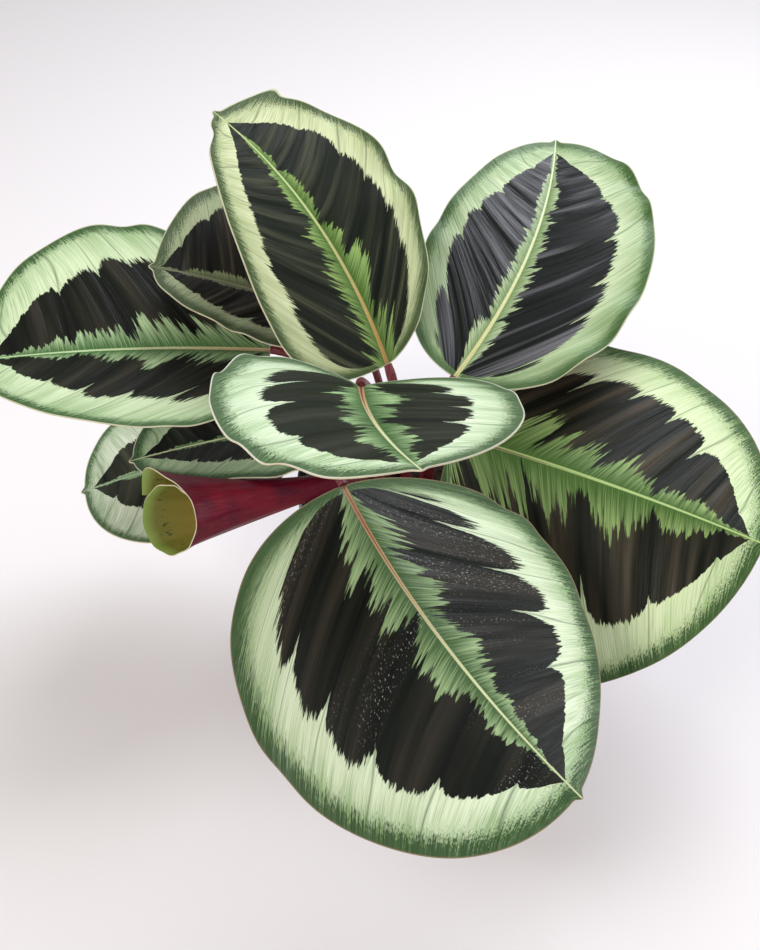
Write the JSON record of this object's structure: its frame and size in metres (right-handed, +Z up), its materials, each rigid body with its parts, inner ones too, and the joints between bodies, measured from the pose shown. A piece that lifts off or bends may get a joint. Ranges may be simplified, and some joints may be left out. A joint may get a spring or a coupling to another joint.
{
  "type": "potted calathea",
  "caption": "House plant with broad patterned leaf blades on slender stalks, standing in soil in a plain tapered nursery pot.",
  "frame": {"origin": "centre of the pot's foot, on the surface the pot stands on", "axes": "+Z up the pot's axis, -Y towards the side that the front leaf hangs over, +X to the right seen from there"},
  "size_m": [0.3976, 0.3774, 0.3224],
  "materials": {
    "blade": "satin",
    "young_blade": "satin",
    "petiole": "satin",
    "soil": "matte",
    "pot_plastic": "satin"
  },
  "bodies": {
    "root": {"pot": "pot_plastic", "potting_soil": "soil", "leaf_front": "blade", "leaf_right": "blade", "leaf_centre": "blade", "leaf_back_left": "blade", "leaf_back_right": "blade", "leaf_left": "blade", "leaf_upper_left": "blade", "leaf_low_left": "blade", "leaf_under_left": "blade", "rolled_leaf": "young_blade", "petiole_front": "petiole", "petiole_right": "petiole", "petiole_centre": "petiole", "petiole_back_left": "petiole", "petiole_back_right": "petiole", "petiole_left": "petiole", "petiole_upper_left": "petiole", "petiole_low_left": "petiole", "petiole_under_left": "petiole", "petiole_rolled": "petiole"}
  },
  "joints": []
}
